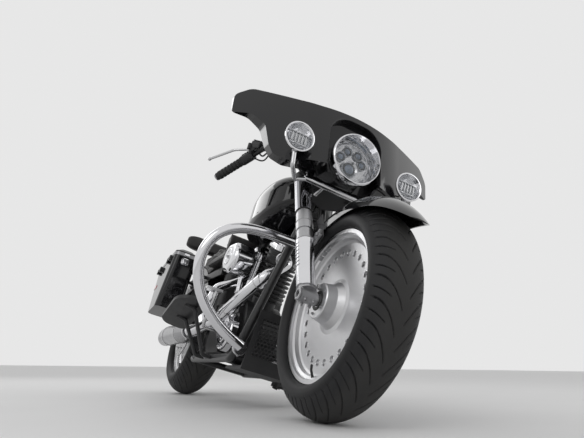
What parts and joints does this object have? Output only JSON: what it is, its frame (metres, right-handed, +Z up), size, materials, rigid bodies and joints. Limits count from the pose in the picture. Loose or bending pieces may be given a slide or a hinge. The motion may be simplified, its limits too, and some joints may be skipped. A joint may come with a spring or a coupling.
{
  "type": "cruiser motorcycle",
  "caption": "Touring cruiser with a V-twin, fork-mounted batwing fairing, disc wheels, engine guard, saddlebags and side stand; wheels, steering, bag lids and stand move.",
  "frame": {"origin": "centre of the bounding box's bottom face, on the ground under the parked motorcycle", "axes": "+X forward, +Y to the rider's left, +Z up; the motorcycle leans 15 degrees to its left"},
  "size_m": [2.3275, 0.9754, 1.167],
  "materials": {
    "gloss_black": "gloss black paint",
    "satin_black": "satin black paint",
    "chrome": "polished chrome",
    "polished": "polished aluminium",
    "satin_alu": "satin aluminium",
    "steel": "brushed steel",
    "tyre": "tyre rubber",
    "rubber": "moulded rubber",
    "black_plastic": "matte black plastic",
    "gloss_plastic": "gloss black plastic",
    "leather": "black leather",
    "lens": "clear lens",
    "red_lens": "red lens"
  },
  "bodies": {
    "chassis": {"rear_axle": "steel", "rear_caliper": "satin_black", "drive_belt": "rubber", "frame": "satin_black", "swingarm": "satin_black", "crankcase": "satin_black", "cylinders": "satin_black", "rocker_covers": "chrome", "cam_cover": "chrome", "primary_cover": "chrome", "pushrod_tubes": "chrome", "air_cleaner": "chrome", "exhaust_headers": "chrome", "muffler": "satin_alu", "fuel_tank": "gloss_black", "tank_console": "gloss_plastic", "seat": "leather", "backrest": "leather", "rear_fender": "gloss_black", "fender_struts": "satin_black", "tail_lamp": "red_lens", "oil_tank": "satin_black", "engine_guard": "chrome", "floorboards": "satin_black", "foot_levers": "polished", "chin_spoiler": "black_plastic", "bag_right": "gloss_black", "bag_left": "gloss_black"},
    "steering": {"fork_sliders": "satin_alu", "fork_tubes": "chrome", "fork_cans": "chrome", "fork_covers": "chrome", "triple_clamps": "satin_black", "front_axle": "steel", "front_caliper": "satin_black", "front_fender": "gloss_black", "fairing": "gloss_black", "inner_fairing": "black_plastic", "headlamp": "chrome", "headlamp_lens": "lens", "fog_lamps": "chrome", "fog_lenses": "lens", "lamp_bar": "chrome", "handlebar": "satin_black", "grips": "rubber", "control_housings": "black_plastic", "hand_levers": "polished"},
    "front_wheel": {"front_tyre": "tyre", "front_rim": "polished", "front_rotor": "steel"},
    "rear_wheel": {"rear_tyre": "tyre", "rear_rim": "polished", "rear_rotor": "steel", "rear_pulley": "satin_black"},
    "bag_lid_right": {"lid_right": "gloss_black"},
    "bag_lid_left": {"lid_left": "gloss_black"},
    "stand": {"side_stand": "satin_black"}
  },
  "joints": [
    {"name": "steering", "type": "hinge", "parent": "chassis", "child": "steering", "pos_m": [0.46033, 0.00423, 0.8209], "axis": [-0.5299, 0.2195, 0.8192], "range_deg": [-28, 28]},
    {"name": "front_wheel_spin", "type": "hinge", "parent": "steering", "child": "front_wheel", "pos_m": [0.84379, -0.13213, 0.31199], "axis": [0, 0.9659, -0.2588], "continuous": true},
    {"name": "rear_wheel_spin", "type": "hinge", "parent": "chassis", "child": "rear_wheel", "pos_m": [-0.79121, -0.13075, 0.31716], "axis": [0, 0.9659, -0.2588], "continuous": true},
    {"name": "side_stand", "type": "hinge", "parent": "chassis", "child": "stand", "pos_m": [0.16879, -0.06014, 0.0784], "axis": [0.0227, 0.4337, 0.9008], "range_deg": [0, 118]},
    {"name": "bag_lid_right", "type": "hinge", "parent": "chassis", "child": "bag_lid_right", "pos_m": [-0.67943, -0.37375, 0.67756], "axis": [0.9863, 0.0427, 0.1594], "range_deg": [0, 95]},
    {"name": "bag_lid_left", "type": "hinge", "parent": "chassis", "child": "bag_lid_left", "pos_m": [-0.67943, 0.2599, 0.50777], "axis": [-0.9863, -0.0427, -0.1594], "range_deg": [0, 95]}
  ]
}
